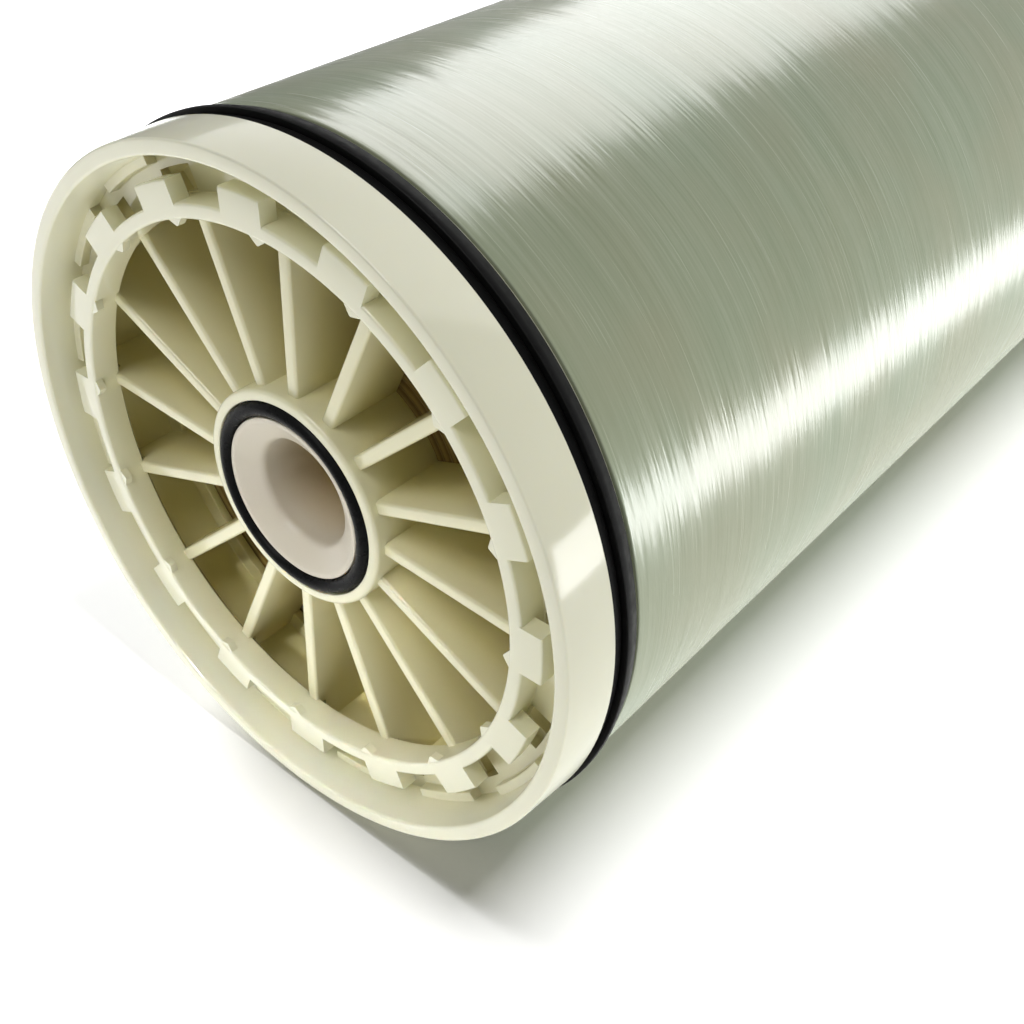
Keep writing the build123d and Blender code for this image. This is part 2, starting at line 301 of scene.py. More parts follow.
def tube_abs(colours):
    """White ABS, machined at its mouth: satin and pale, with painted shade that turns it tan down the
    bore.
    """
    finish, tree = new_finish("machined_white_abs")
    place = add_node(tree, "ShaderNodeTexCoord").outputs["Object"]
    # Cloudy tone about 25 mm across, from the melt's flow
    flow = add_node(tree, "ShaderNodeTexNoise", {"Vector": place, "Scale": 1 / (25 * MM), "Detail": 3.0})
    deeper = tuple(0.92 * channel for channel in colours.tube_white[:3]) + (1.0,)
    tone = add_node(tree, "ShaderNodeMix", {
        0: flow.outputs["Fac"], 6: deeper, 7: tuple(colours.tube_white),
    }, data_type="RGBA")
    # Painted shade: the bore's wall turns tan between 8 mm and 26 mm below the mouth, where little light
    # reaches
    height = add_node(tree, "ShaderNodeSeparateXYZ", {"Vector": place}).outputs["Z"]
    depth = add_node(tree, "ShaderNodeMapRange", {
        "Value": height,
        "From Min": HUB_FRONT - 26 * MM, "From Max": HUB_FRONT - 8 * MM, "To Min": 1.0, "To Max": 0.0,
    })
    painted_bore_tone = add_node(tree, "ShaderNodeMix", {
        0: depth.outputs["Result"], 6: tone.outputs[2], 7: tuple(colours.painted_bore_shade),
    }, data_type="RGBA")
    sheen = add_node(tree, "ShaderNodeMapRange", {
        "Value": flow.outputs["Fac"], "From Min": 0.3, "From Max": 0.7, "To Min": 0.28, "To Max": 0.4,
    })
    shader = add_node(tree, "ShaderNodeBsdfPrincipled", {
        "Base Color": painted_bore_tone.outputs[2],
        "Roughness": sheen.outputs["Result"],
        "IOR": 1.53,
        "Subsurface Weight": 0.1,
        "Subsurface Radius": (1.0, 0.85, 0.6),
        "Subsurface Scale": 3 * MM,
    }, subsurface_method="RANDOM_WALK")
    show(tree, shader.outputs["BSDF"])
    return finish


def sealing_rubber(colours, name, dullness, shine):
    """Black EPDM, press moulded: dark, smooth, with a soft sheen that dust breaks up."""
    finish, tree = new_finish(name)
    place = add_node(tree, "ShaderNodeTexCoord").outputs["Object"]
    # Dust in spots about 2.5 mm across
    dust = add_node(tree, "ShaderNodeTexNoise", {"Vector": place, "Scale": 1 / (2.5 * MM), "Detail": 4.0})
    sheen = add_node(tree, "ShaderNodeMapRange", {
        "Value": dust.outputs["Fac"],
        "From Min": 0.3, "From Max": 0.7, "To Min": dullness, "To Max": dullness + 0.14,
    })
    dusty = tuple(2.2 * channel for channel in colours.seal_black[:3]) + (1.0,)
    tone = add_node(tree, "ShaderNodeMix", {
        0: dust.outputs["Fac"], 6: tuple(colours.seal_black), 7: dusty,
    }, data_type="RGBA")
    relief = add_node(tree, "ShaderNodeBump", {
        "Strength": 0.06, "Distance": 0.1 * MM, "Height": dust.outputs["Fac"],
    })
    shader = add_node(tree, "ShaderNodeBsdfPrincipled", {
        "Base Color": tone.outputs[2],
        "Roughness": sheen.outputs["Result"],
        "Specular IOR Level": shine,
        "Normal": relief.outputs["Normal"],
    })
    show(tree, shader.outputs["BSDF"])
    return finish


def wound_fibreglass(colours):
    """Glass roving wound in resin: glossy, with fine strands that break up each highlight."""
    finish, tree = new_finish("wound_fibreglass")
    place = add_node(tree, "ShaderNodeTexCoord").outputs["Object"]
    # Strands are 45 mm long round the shell and 0.7 mm wide, coarser than real ones so that they show
    strand_size = add_node(tree, "ShaderNodeMapping", {
        "Vector": place,
        "Scale": (1 / (45 * MM), 1 / (45 * MM), 1 / (0.7 * MM)),
        "Rotation": (0.0, 0.006, 0.0),
    })
    strands = add_node(tree, "ShaderNodeTexNoise", {
        "Vector": strand_size.outputs["Vector"], "Scale": 1.0, "Detail": 2.0, "Roughness": 0.5,
    })
    # Bundles are 130 mm long and 5 mm wide
    bundle_size = add_node(tree, "ShaderNodeMapping", {
        "Vector": place,
        "Scale": (1 / (130 * MM), 1 / (130 * MM), 1 / (5 * MM)),
        "Rotation": (0.0, -0.01, 0.0),
    })
    bundles = add_node(tree, "ShaderNodeTexNoise", {
        "Vector": bundle_size.outputs["Vector"], "Scale": 1.0, "Detail": 2.0, "Roughness": 0.5,
    })
    both = add_node(tree, "ShaderNodeMix", {
        0: 0.4, 2: strands.outputs["Fac"], 3: bundles.outputs["Fac"],
    }, data_type="FLOAT")
    share = add_node(tree, "ShaderNodeMapRange", {
        "Value": both.outputs[0], "From Min": 0.25, "From Max": 0.75, "To Min": 0.0, "To Max": 1.0,
    })
    tone = add_node(tree, "ShaderNodeMix", {
        0: share.outputs["Result"], 6: tuple(colours.resin_green), 7: tuple(colours.glass_grey),
    }, data_type="RGBA")
    # Patches about 45 mm across, where the resin is browner
    clouds = add_node(tree, "ShaderNodeTexNoise", {
        "Vector": place, "Scale": 1 / (45 * MM), "Detail": 2.0,
    })
    patches = add_node(tree, "ShaderNodeMapRange", {
        "Value": clouds.outputs["Fac"], "From Min": 0.35, "From Max": 0.65, "To Min": 0.0, "To Max": 0.6,
    })
    patched = add_node(tree, "ShaderNodeMix", {
        0: patches.outputs["Result"], 6: tone.outputs[2], 7: tuple(colours.resin_tan),
    }, data_type="RGBA")
    sheen = add_node(tree, "ShaderNodeMapRange", {
        "Value": strands.outputs["Fac"], "From Min": 0.3, "From Max": 0.7, "To Min": 0.18, "To Max": 0.28,
    })
    # Each strand, 70 mm long and 0.6 mm wide here, leans a little, which frays the highlights' edges
    surface = add_node(tree, "ShaderNodeNewGeometry").outputs["Normal"]
    lean_size = add_node(tree, "ShaderNodeMapping", {
        "Vector": place,
        "Scale": (1 / (70 * MM), 1 / (70 * MM), 1 / (0.6 * MM)),
        "Location": (3.0, 5.0, 7.0),
    })
    leans = add_node(tree, "ShaderNodeTexNoise", {
        "Vector": lean_size.outputs["Vector"], "Scale": 1.0, "Detail": 2.0, "Roughness": 0.6,
    })
    centred = add_node(tree, "ShaderNodeVectorMath", {
        0: leans.outputs["Color"], 1: (0.5, 0.5, 0.5),
    }, operation="SUBTRACT")
    eased = add_node(tree, "ShaderNodeVectorMath", {
        0: centred.outputs["Vector"], 1: (0.28, 0.28, 0.3),
    }, operation="MULTIPLY")
    tilted = add_node(tree, "ShaderNodeVectorMath", {
        0: surface, 1: eased.outputs["Vector"],
    }, operation="ADD")
    facing = add_node(tree, "ShaderNodeVectorMath", {0: tilted.outputs["Vector"]}, operation="NORMALIZE")
    shader = add_node(tree, "ShaderNodeBsdfPrincipled", {
        "Base Color": patched.outputs[2],
        "Roughness": sheen.outputs["Result"],
        "IOR": 1.55,
        "Normal": facing.outputs["Vector"],
    })
    show(tree, shader.outputs["BSDF"])
    return finish


def membrane_leaves(colours, sizes):
    """Membrane leaves and spacer, wound and trimmed: matt, with thin edges in a spiral."""
    finish, tree = new_finish("wound_membrane_leaves")
    place = add_node(tree, "ShaderNodeTexCoord").outputs["Object"]
    parts = add_node(tree, "ShaderNodeSeparateXYZ", {"Vector": place})
    turn = add_node(tree, "ShaderNodeMath", {
        0: parts.outputs["Y"], 1: parts.outputs["X"],
    }, operation="ARCTAN2")
    flat = add_node(tree, "ShaderNodeCombineXYZ", {"X": parts.outputs["X"], "Y": parts.outputs["Y"]})
    radius = add_node(tree, "ShaderNodeVectorMath", {0: flat.outputs["Vector"]}, operation="LENGTH")
    # One leaf edge and one spacer edge for each half pitch of radius
    count = add_node(tree, "ShaderNodeMath", {
        0: radius.outputs["Value"], 1: 2 / sizes.leaf_pitch,
    }, operation="MULTIPLY")
    share = add_node(tree, "ShaderNodeMath", {
        0: turn.outputs["Value"], 1: 1 / FULL_TURN,
    }, operation="MULTIPLY")
    spiral = add_node(tree, "ShaderNodeMath", {
        0: count.outputs["Value"], 1: share.outputs["Value"],
    }, operation="ADD")
    wave = add_node(tree, "ShaderNodeMath", {0: spiral.outputs["Value"], 1: 0.5}, operation="PINGPONG")
    edge = add_node(tree, "ShaderNodeMapRange", {
        "Value": wave.outputs["Value"], "From Min": 0.1, "From Max": 0.4, "To Min": 0.0, "To Max": 1.0,
    })
    tone = add_node(tree, "ShaderNodeMix", {
        0: edge.outputs["Result"], 6: tuple(colours.leaf_tan), 7: tuple(colours.leaf_white),
    }, data_type="RGBA")
    # Spacer net about 1.2 mm across
    weave = add_node(tree, "ShaderNodeTexNoise", {
        "Vector": place, "Scale": 1 / (1.2 * MM), "Detail": 2.0,
    })
    relief = add_node(tree, "ShaderNodeBump", {
        "Strength": 0.4, "Distance": 0.3 * MM, "Height": weave.outputs["Fac"],
    })
    shader = add_node(tree, "ShaderNodeBsdfPrincipled", {
        "Base Color": tone.outputs[2],
        "Roughness": 0.8,
        "Normal": relief.outputs["Normal"],
    })
    show(tree, shader.outputs["BSDF"])
    return finish


def deselect_all():
    """Leaves edit mode and deselects every object."""
    if bpy.context.object and bpy.context.object.mode != "OBJECT":
        bpy.ops.object.mode_set(mode="OBJECT")
    bpy.ops.object.select_all(action="DESELECT")


def pick(piece):
    """Selects one object alone and makes it active."""
    deselect_all()
    piece.select_set(True)
    bpy.context.view_layer.objects.active = piece


def draw_outline(name, points):
    """Draws a closed outline by extruding one vertex from point to point, and stays in edit mode."""
    deselect_all()
    bpy.ops.mesh.primitive_plane_add(size=1.0, location=(0, 0, 0))
    piece = bpy.context.object
    piece.name = name
    piece.data.name = name
    bpy.ops.object.mode_set(mode="EDIT")
    bpy.ops.mesh.select_all(action="SELECT")
    bpy.ops.mesh.merge(type="CENTER")
    bpy.ops.transform.translate(value=points[0])
    for here, there in zip(points, points[1:] + points[:1]):
        step = Vector(there) - Vector(here)
        bpy.ops.mesh.extrude_region_move(TRANSFORM_OT_translate={"value": step})
    bpy.ops.mesh.select_all(action="SELECT")
    bpy.ops.mesh.remove_doubles(threshold=DRAWN_GAP)
    return piece


def select_where(piece, wanted, kind="VERT"):
    """Selects the vertices, edges or faces of the edited piece whose centre passes the test."""
    bpy.ops.mesh.select_mode(type=kind)
    bpy.ops.mesh.select_all(action="DESELECT")
    bpy.ops.object.mode_set(mode="OBJECT")
    mesh = piece.data
    if kind == "VERT":
        for vertex in mesh.vertices:
            vertex.select = wanted(vertex.co)
    elif kind == "EDGE":
        for edge in mesh.edges:
            ends = [mesh.vertices[index].co for index in edge.vertices]
            edge.select = all(wanted(end) for end in ends)
    else:
        for face in mesh.polygons:
            face.select = wanted(face.center)
    bpy.ops.object.mode_set(mode="EDIT")


def round_corners(piece, corners):
    """Bevels the corners of a flat outline. Each corner is a point and its rounding."""
    for rounding in sorted({rounding for _, rounding in corners if rounding > 0}):
        spots = [Vector(point) for point, size in corners if size == rounding]
        select_where(piece, lambda co: any((co - spot).length < NEAR for spot in spots))
        bpy.ops.mesh.bevel(
            offset=rounding,
            offset_type="OFFSET",
            affect="VERTICES",
            segments=CORNER_SEGMENTS,
            clamp_overlap=True,
        )
    bpy.ops.mesh.select_mode(type="VERT")
    bpy.ops.mesh.select_all(action="SELECT")


def turn_profile(name, profile, steps):
    """Turns a closed profile of radius, height and corner rounding about the axis."""
    corners = [((radius, 0.0, height), rounding) for radius, height, rounding in profile]
    piece = draw_outline(name, [point for point, _ in corners])
    round_corners(piece, corners)
    bpy.ops.mesh.spin(steps=steps, angle=FULL_TURN, center=(0, 0, 0), axis=ALONG_Z)
    close_mesh()
    bpy.ops.object.mode_set(mode="OBJECT")
    return piece


def close_mesh():
    """Merges the edited mesh's doubles and points its faces outwards."""
    bpy.ops.mesh.select_all(action="SELECT")
    bpy.ops.mesh.remove_doubles(threshold=WELD_GAP)
    bpy.ops.mesh.normals_make_consistent(inside=False)


def push_outline(name, points, depth):
    """Fills an outline and extrudes it by a depth vector, leaving the solid in edit mode."""
    piece = draw_outline(name, points)
    bpy.ops.mesh.edge_face_add()
    bpy.ops.mesh.extrude_region_move(TRANSFORM_OT_translate={"value": depth})
    close_mesh()
    return piece


def repeat_round(count, phase):
    """Turns the edited piece to its first place and copies it evenly round the axis."""
    bpy.ops.mesh.select_mode(type="VERT")
    bpy.ops.mesh.select_all(action="SELECT")
    # The operator turns clockwise about +Z for a positive value
    bpy.ops.transform.rotate(value=-phase, orient_axis="Z", center_override=(0, 0, 0))
    bpy.ops.mesh.spin(
        steps=count - 1, dupli=True, angle=FULL_TURN * (count - 1) / count, center=(0, 0, 0), axis=ALONG_Z
    )
    bpy.ops.mesh.select_all(action="SELECT")
    bpy.ops.mesh.normals_make_consistent(inside=False)
    bpy.ops.object.mode_set(mode="OBJECT")


def combine(piece, other, operation):
    """Joins another solid to a piece, or cuts it out, and removes the other."""
    pick(piece)
    bpy.ops.object.modifier_add(type="BOOLEAN")
    modifier = piece.modifiers[-1]
    modifier.operation = operation
    modifier.solver = "EXACT"
    modifier.object = other
    bpy.ops.object.modifier_apply(modifier=modifier.name)
    bpy.data.objects.remove(other)


def join_shells(piece, other):
    """Puts two solids that don't touch into one mesh."""
    pick(piece)
    other.select_set(True)
    bpy.ops.object.join()


def add_copies(body, solid, on_edge, rounding, count, phase):
    """Rounds some edges of the edited solid, copies it round the axis and joins it all to a body."""
    select_where(solid, on_edge, "EDGE")
    bpy.ops.mesh.bevel(offset=rounding, affect="EDGES", segments=BEVEL_SEGMENTS)
    repeat_round(count, phase)
    combine(body, solid, "UNION")


def finish_piece(piece, finish, node, smooth_angle=35.0):
    """Cleans and shades a piece, gives it its finish, and sets it in place of its CAD node."""
    pick(piece)
    # Points a few micrometres apart, which joins and cuts leave behind, are welded
    bpy.ops.object.mode_set(mode="EDIT")
    bpy.ops.mesh.select_all(action="SELECT")
    bpy.ops.mesh.remove_doubles(threshold=WELD_GAP)
    bpy.ops.mesh.dissolve_degenerate(threshold=SLIVER_WIDTH)
    bpy.ops.object.mode_set(mode="OBJECT")
    bpy.ops.object.shade_smooth_by_angle(angle=math.radians(smooth_angle))
    piece.data.materials.clear()
    piece.data.materials.append(finish)
    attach(piece, ROOT_BODY)
    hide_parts(node)


def arc_points(radius, half_width, height, steps):
    """Points of an arc about the axis, from one side of +X to the other."""
    points = []
    for step in range(steps + 1):
        across = half_width * (2 * step / steps - 1)
        points.append((math.sqrt(radius ** 2 - across ** 2), across, height))
    return points


class ELEMENT_OT_feed_cap(bpy.types.Operator):
    """Models the feed end cap as one moulding with rim, channel, ring, tabs, blades and hub"""

    bl_idname = "element.feed_cap"
    bl_label = "Feed End Cap"
    bl_options = {"REGISTER", "UNDO"}

    def execute(self, context):
        cap = context.scene.element_cap
        tube = context.scene.element_tube
        finish = moulded_abs(context.scene.element_colours)
        edge = cap.edge_rounding
        rim_front = CAP_RADIUS - cap.skirt_draft
        rim_bore = rim_front - cap.rim_land
        rim_radius = rim_bore - cap.wall_draft
        groove_radius = CAP_RADIUS - cap.groove_depth
        flange_radius = CAP_RADIUS - cap.flange_step
        socket_radius = CAP_RADIUS - cap.socket_step
        cavity_radius = groove_radius - cap.cap_wall
        ledge_radius = rim_radius - cap.ledge_width
        ring_bore = cap.ring_radius - cap.ring_wall
        ring_middle = cap.ring_radius - cap.ring_wall / 2
        ring_front = TOP - cap.ring_setback
        tab_rear = ring_front - cap.tab_height
        ledge = TOP - cap.ledge_depth
        floor_top = TOP - cap.channel_depth
        floor_bottom = floor_top - cap.channel_floor
        blade_front = TOP - cap.blade_setback

        body = turn_profile("feed_cap_moulding", [
            (rim_bore, TOP, edge),
            (rim_front, TOP, cap.rim_rounding),
            (CAP_RADIUS, GROOVE_FRONT, edge / 2),
            (groove_radius, GROOVE_FRONT, 0.0),
            (groove_radius, GROOVE_REAR, 0.0),
            (flange_radius, GROOVE_REAR, edge / 4),
            (flange_radius, SHELL_TOP, edge / 4),
            (socket_radius, SHELL_TOP, 0.0),
            (socket_radius, ROLL_TOP, 0.0),
            (cavity_radius - cap.lip_width, ROLL_TOP, 0.0),
            (cavity_radius - cap.lip_width, ROLL_TOP + cap.lip_height, edge / 2),
            (cavity_radius, ROLL_TOP + cap.lip_height, edge / 2),
            (cavity_radius, floor_bottom, 0.0),
            (cap.ring_radius, floor_bottom, 0.0),
            (ring_bore, floor_top, 0.0),
            (ring_bore, ring_front, edge),
            (cap.ring_radius, ring_front, edge),
            (cap.ring_radius, floor_top, edge / 2),
            (ledge_radius, floor_top, edge / 2),
            (ledge_radius, ledge, edge / 2),
            (rim_radius, ledge, edge / 4),
        ], cap.spin_steps)

        face_groove_floor = CORD_BOTTOM
        hub = turn_profile("feed_hub", [
            (COLLAR_RADIUS + tube.bond_gap, face_groove_floor, 0.0),
            (cap.face_groove_radius, face_groove_floor, 0.0),
            (cap.face_groove_radius, HUB_FRONT, edge / 2),
            (cap.hub_radius, HUB_FRONT, 1.5 * edge),
            (cap.hub_radius, ROLL_TOP, 0.0),
            (tube.tube_radius + tube.bond_gap, ROLL_TOP, 0.0),
            (tube.tube_radius + tube.bond_gap, HUB_FRONT - cap.collar_depth, 0.0),
            (COLLAR_RADIUS + tube.bond_gap, HUB_FRONT - cap.collar_depth, 0.0),
        ], cap.spin_steps)
        join_shells(body, hub)

        half = cap.blade_thickness / 2
        blades = push_outline("feed_blades", [
            (cap.hub_radius - EMBED, -half, ROLL_TOP),
            (cap.hub_radius - EMBED, -half, blade_front),
            (ring_middle, -half, blade_front),
            (ring_middle, -half, floor_bottom),
            (cavity_radius + EMBED, -half, floor_bottom),
            (cavity_radius + EMBED, -half, ROLL_TOP),
        ], (0, 2 * half, 0))
        add_copies(
            body, blades, lambda co: abs(co.z - blade_front) < NEAR,
            edge, cap.blade_count, cap.blade_phase,
        )

        nub_half = cap.nub_width / 2
        nubs = push_outline("ring_nubs", [
            (ring_bore - cap.nub_reach, 0.0, ring_front - cap.nub_height),
            (ring_bore, nub_half, ring_front - cap.nub_height),
            (ring_middle, nub_half, ring_front - cap.nub_height),
            (ring_middle, -nub_half, ring_front - cap.nub_height),
            (ring_bore, -nub_half, ring_front - cap.nub_height),
        ], (0, 0, cap.nub_height - edge / 3))
        add_copies(
            body, nubs, lambda co: co.x < ring_bore - 0.9 * cap.nub_reach,
            0.5 * edge, cap.blade_count, cap.blade_phase,
        )

        tab_half = cap.tab_width / 2
        tabs = push_outline("feed_tabs", [
            (ring_middle, tab_half, tab_rear),
            (ring_middle, -tab_half, tab_rear),
            *arc_points(cap.tab_radius, tab_half, tab_rear, ARC_STEPS),
        ], (0, 0, cap.tab_height))
        add_copies(
            body, tabs, lambda co: co.x > ring_middle + EMBED and co.z > ring_front - NEAR,
            0.7 * edge, cap.blade_count, 0.0,
        )

        window_half = cap.window_width / 2
        notches = push_outline("ledge_notches", [
            *arc_points(cap.tab_radius, -window_half, floor_top, ARC_STEPS),
            *arc_points(rim_radius, window_half, floor_top, ARC_STEPS),
        ], (0, 0, ledge - floor_top + EMBED / 2))
        repeat_round(cap.blade_count, 0.0)
        combine(body, notches, "DIFFERENCE")
        windows = push_outline("floor_windows", [
            *arc_points(cap.ring_radius + cap.window_inset, -window_half, floor_bottom - EMBED, ARC_STEPS),
            *arc_points(cavity_radius - cap.window_inset, window_half, floor_bottom - EMBED, ARC_STEPS),
        ], (0, 0, cap.channel_floor + 2 * EMBED))
        repeat_round(cap.blade_count, 0.0)
        combine(body, windows, "DIFFERENCE")

        finish_piece(body, finish, "feed_end_cap")
        return {"FINISHED"}


class ELEMENT_OT_hub_o_ring(bpy.types.Operator):
    """Models the O-ring in the hub's face"""

    bl_idname = "element.hub_o_ring"
    bl_label = "Hub O-Ring"
    bl_options = {"REGISTER", "UNDO"}

    def execute(self, context):
        cap = context.scene.element_cap
        finish = sealing_rubber(
            context.scene.element_colours, "o_ring_rubber", dullness=0.22, shine=0.05
        )
        cord = (CORD_TOP - CORD_BOTTOM) / 2
        middle = (cap.face_groove_radius + COLLAR_RADIUS) / 2
        deselect_all()
        bpy.ops.mesh.primitive_circle_add(
            vertices=CORD_SIDES,
            radius=cord,
            location=(middle, 0, CORD_BOTTOM + cord),
            rotation=(math.pi / 2, 0, 0),
        )
        ring = bpy.context.object
        ring.name = "hub_o_ring_cord"
        ring.data.name = ring.name
        bpy.ops.object.transform_apply(location=True, rotation=True, scale=True)
        bpy.ops.object.mode_set(mode="EDIT")
        bpy.ops.mesh.select_all(action="SELECT")
        bpy.ops.mesh.spin(steps=TUBE_STEPS, angle=FULL_TURN, center=(0, 0, 0), axis=ALONG_Z)
        close_mesh()
        bpy.ops.object.mode_set(mode="OBJECT")
        finish_piece(ring, finish, "hub_o_ring")
        return {"FINISHED"}


class ELEMENT_OT_brine_seal(bpy.types.Operator):
    """Models the brine seal with its notch and leaning lip"""

    bl_idname = "element.brine_seal"
    bl_label = "Brine Seal"
    bl_options = {"REGISTER", "UNDO"}

    def execute(self, context):
        tube = context.scene.element_tube
        finish = sealing_rubber(
            context.scene.element_colours, "brine_seal_rubber", dullness=0.4, shine=0.14
        )
        lip_front = GROOVE_FRONT - tube.lip_front
        front_rounding = 1.0 * MM
        notch_rounding = 0.5 * MM
        lip_rounding = 0.6 * MM
        thin_rounding = 0.3 * MM
        seal = turn_profile("brine_seal_ring", [
            (tube.seal_seat, GROOVE_REAR, 0.0),
            (tube.seal_seat, GROOVE_FRONT, 0.0),
            (tube.seal_front, GROOVE_FRONT, front_rounding),
            (tube.seal_front, lip_front, notch_rounding),
            (tube.seal_notch, lip_front - tube.lip_land / 2, 0.0),
            (LIP_RADIUS, lip_front, thin_rounding),
            (LIP_RADIUS, lip_front - tube.lip_land, lip_rounding),
            (tube.seal_rear, GROOVE_REAR, thin_rounding),
        ], context.scene.element_cap.spin_steps)
        finish_piece(seal, finish, "brine_seal")
        return {"FINISHED"}


class ELEMENT_OT_shell(bpy.types.Operator):
    """Models the filament-wound shell"""

    bl_idname = "element.shell"
    bl_label = "Wound Shell"
    bl_options = {"REGISTER", "UNDO"}

    def execute(self, context):
        tube = context.scene.element_tube
        finish = wound_fibreglass(context.scene.element_colours)
        inner = SHELL_RADIUS - tube.shell_wall
        trimmed_edge = 0.4 * MM
        shell = turn_profile("wound_shell", [
            (inner, SHELL_BOTTOM, 0.0),
            (SHELL_RADIUS, SHELL_BOTTOM, trimmed_edge),
            (SHELL_RADIUS, SHELL_TOP, trimmed_edge),
            (inner, SHELL_TOP, 0.0),
        ], context.scene.element_cap.spin_steps)
        finish_piece(shell, finish, "fibreglass_shell")
        return {"FINISHED"}


class ELEMENT_OT_permeate_tube(bpy.types.Operator):
    """Models the permeate tube with its collar and bevelled mouth"""

    bl_idname = "element.permeate_tube"
    bl_label = "Permeate Tube"
    bl_options = {"REGISTER", "UNDO"}

    def execute(self, context):
        cap = context.scene.element_cap
        sizes = context.scene.element_tube
        finish = tube_abs(context.scene.element_colours)
        collar_seat = HUB_FRONT - cap.collar_depth
        outer_rounding = 0.4 * MM
        inner_rounding = 0.5 * MM
        tube = turn_profile("permeate_tube_body", [
            (sizes.bore_radius, TUBE_BOTTOM, 0.0),
            (sizes.tube_radius, TUBE_BOTTOM, 0.0),
            (sizes.tube_radius, collar_seat, 0.0),
            (COLLAR_RADIUS, collar_seat, 0.0),
            (COLLAR_RADIUS, HUB_FRONT, outer_rounding),
            (sizes.mouth_radius, HUB_FRONT, inner_rounding),
            (sizes.bore_radius, HUB_FRONT - sizes.mouth_depth, sizes.mouth_rounding),
        ], TUBE_STEPS)
        finish_piece(tube, finish, "permeate_tube")
        return {"FINISHED"}


class ELEMENT_OT_membrane_roll(bpy.types.Operator):
    """Models the wound roll with the edges of its leaves on both ends"""

    bl_idname = "element.membrane_roll"
    bl_label = "Membrane Roll"
    bl_options = {"REGISTER", "UNDO"}

    def execute(self, context):
        sizes = context.scene.element_tube
        finish = membrane_leaves(context.scene.element_colours, sizes)
        bore = sizes.tube_radius + sizes.bond_gap
        turns = int((ROLL_RADIUS - bore) / sizes.leaf_pitch)
        rising = []
        falling = []
        for turn in range(turns):
            radius = bore + turn * sizes.leaf_pitch
            rising.append((radius, ROLL_TOP, 0.0))
            rising.append((radius + sizes.leaf_pitch / 2, ROLL_TOP - sizes.leaf_depth, 0.0))
            falling.append((radius, ROLL_BOTTOM, 0.0))
            falling.append((radius + sizes.leaf_pitch / 2, ROLL_BOTTOM + sizes.leaf_depth, 0.0))
        outside = [(ROLL_RADIUS, ROLL_TOP, 0.0), (ROLL_RADIUS, ROLL_BOTTOM, 0.0)]
        roll = turn_profile("wound_membrane_roll", rising + outside + falling[::-1], ROLL_STEPS)
        finish_piece(roll, finish, "membrane_roll", smooth_angle=20.0)
        return {"FINISHED"}


class ELEMENT_OT_discharge_cap(bpy.types.Operator):
    """Models the discharge end cap as one moulding with spigot, shoulder, blades and nose"""

    bl_idname = "element.discharge_cap"
    bl_label = "Discharge End Cap"
    bl_options = {"REGISTER", "UNDO"}

    def execute(self, context):
        cap = context.scene.element_cap
        tube = context.scene.element_tube
        # This cap lies far below the feed rim, so the shared finish paints its shade tone on all of it
        # inside a radius of 97 mm
        finish = bpy.data.materials["moulded_ivory_abs"]
        edge = cap.edge_rounding
        socket_radius = CAP_RADIUS - cap.socket_step
        bead_gap = 0.4 * MM
        bead_top = cap.shoulder - cap.ring_setback - cap.tab_height - bead_gap
        bead = 0.7 * MM
        bead_width = 2 * MM
        body = turn_profile("discharge_cap_moulding", [
            (cap.spigot_bore, 0.0, edge / 2),
            (cap.spigot_tip_radius, 0.0, edge / 2),
            (cap.spigot_tip_radius, cap.spigot_step, edge / 4),
            (cap.spigot_radius, cap.spigot_step, edge / 2),
            (cap.spigot_radius, cap.shoulder, edge / 2),
            (CAP_RADIUS, cap.shoulder, 1.5 * edge),
            (CAP_RADIUS, SHELL_BOTTOM, edge / 2),
            (socket_radius, SHELL_BOTTOM, 0.0),
            (socket_radius, ROLL_BOTTOM, 0.0),
            (cap.spigot_bore - cap.lip_width, ROLL_BOTTOM, 0.0),
            (cap.spigot_bore - cap.lip_width, ROLL_BOTTOM - cap.lip_height, edge / 2),
            (cap.spigot_bore, ROLL_BOTTOM - cap.lip_height, edge / 2),
            (cap.spigot_bore, bead_top, 0.0),
            (cap.spigot_bore - bead, bead_top - bead, 0.0),
            (cap.spigot_bore - bead, bead_top - bead_width + bead, 0.0),
            (cap.spigot_bore, bead_top - bead_width, 0.0),
        ], cap.spin_steps)
        nose = turn_profile("discharge_nose", [
            (tube.bore_radius, cap.nose_height, edge),
            (cap.hub_radius, cap.nose_height, 1.5 * edge),
            (cap.hub_radius, ROLL_BOTTOM, 0.0),
            (tube.tube_radius + tube.bond_gap, ROLL_BOTTOM, 0.0),
            (tube.tube_radius + tube.bond_gap, TUBE_BOTTOM, 0.0),
            (tube.bore_radius, TUBE_BOTTOM, 0.0),
        ], cap.spin_steps)
        join_shells(body, nose)
        half = cap.blade_thickness / 2
        blades = push_outline("discharge_blades", [
            (cap.hub_radius - EMBED, -half, cap.discharge_blades),
            (cap.spigot_bore + EMBED, -half, cap.discharge_blades),
            (cap.spigot_bore + EMBED, -half, ROLL_BOTTOM),
            (cap.hub_radius - EMBED, -half, ROLL_BOTTOM),
        ], (0, 2 * half, 0))
        add_copies(
            body, blades, lambda co: abs(co.z - cap.discharge_blades) < NEAR,
            edge, cap.blade_count, cap.blade_phase,
        )
        finish_piece(body, finish, "discharge_end_cap")
        return {"FINISHED"}


def add_lamp(name, place, target, upright, size, power, spread=180.0):
    """Adds a rectangular lamp at a place, aimed at a target, with its height along the upright."""
    light = bpy.data.lights.new(name, "AREA")
    light.shape = "RECTANGLE"
    light.size, light.size_y = size
    light.energy = power
    light.spread = math.radians(spread)
    lamp = bpy.data.objects.new(name, light)
    back = (Vector(place) - Vector(target)).normalized()
    across = Vector(upright).cross(back).normalized()
    turn = Matrix((across, back.cross(across), back)).transposed()
    lamp.matrix_world = Matrix.Translation(place) @ turn.to_4x4()
    lamp.visible_camera = False
    bpy.context.scene.collection.objects.link(lamp)
    return lamp


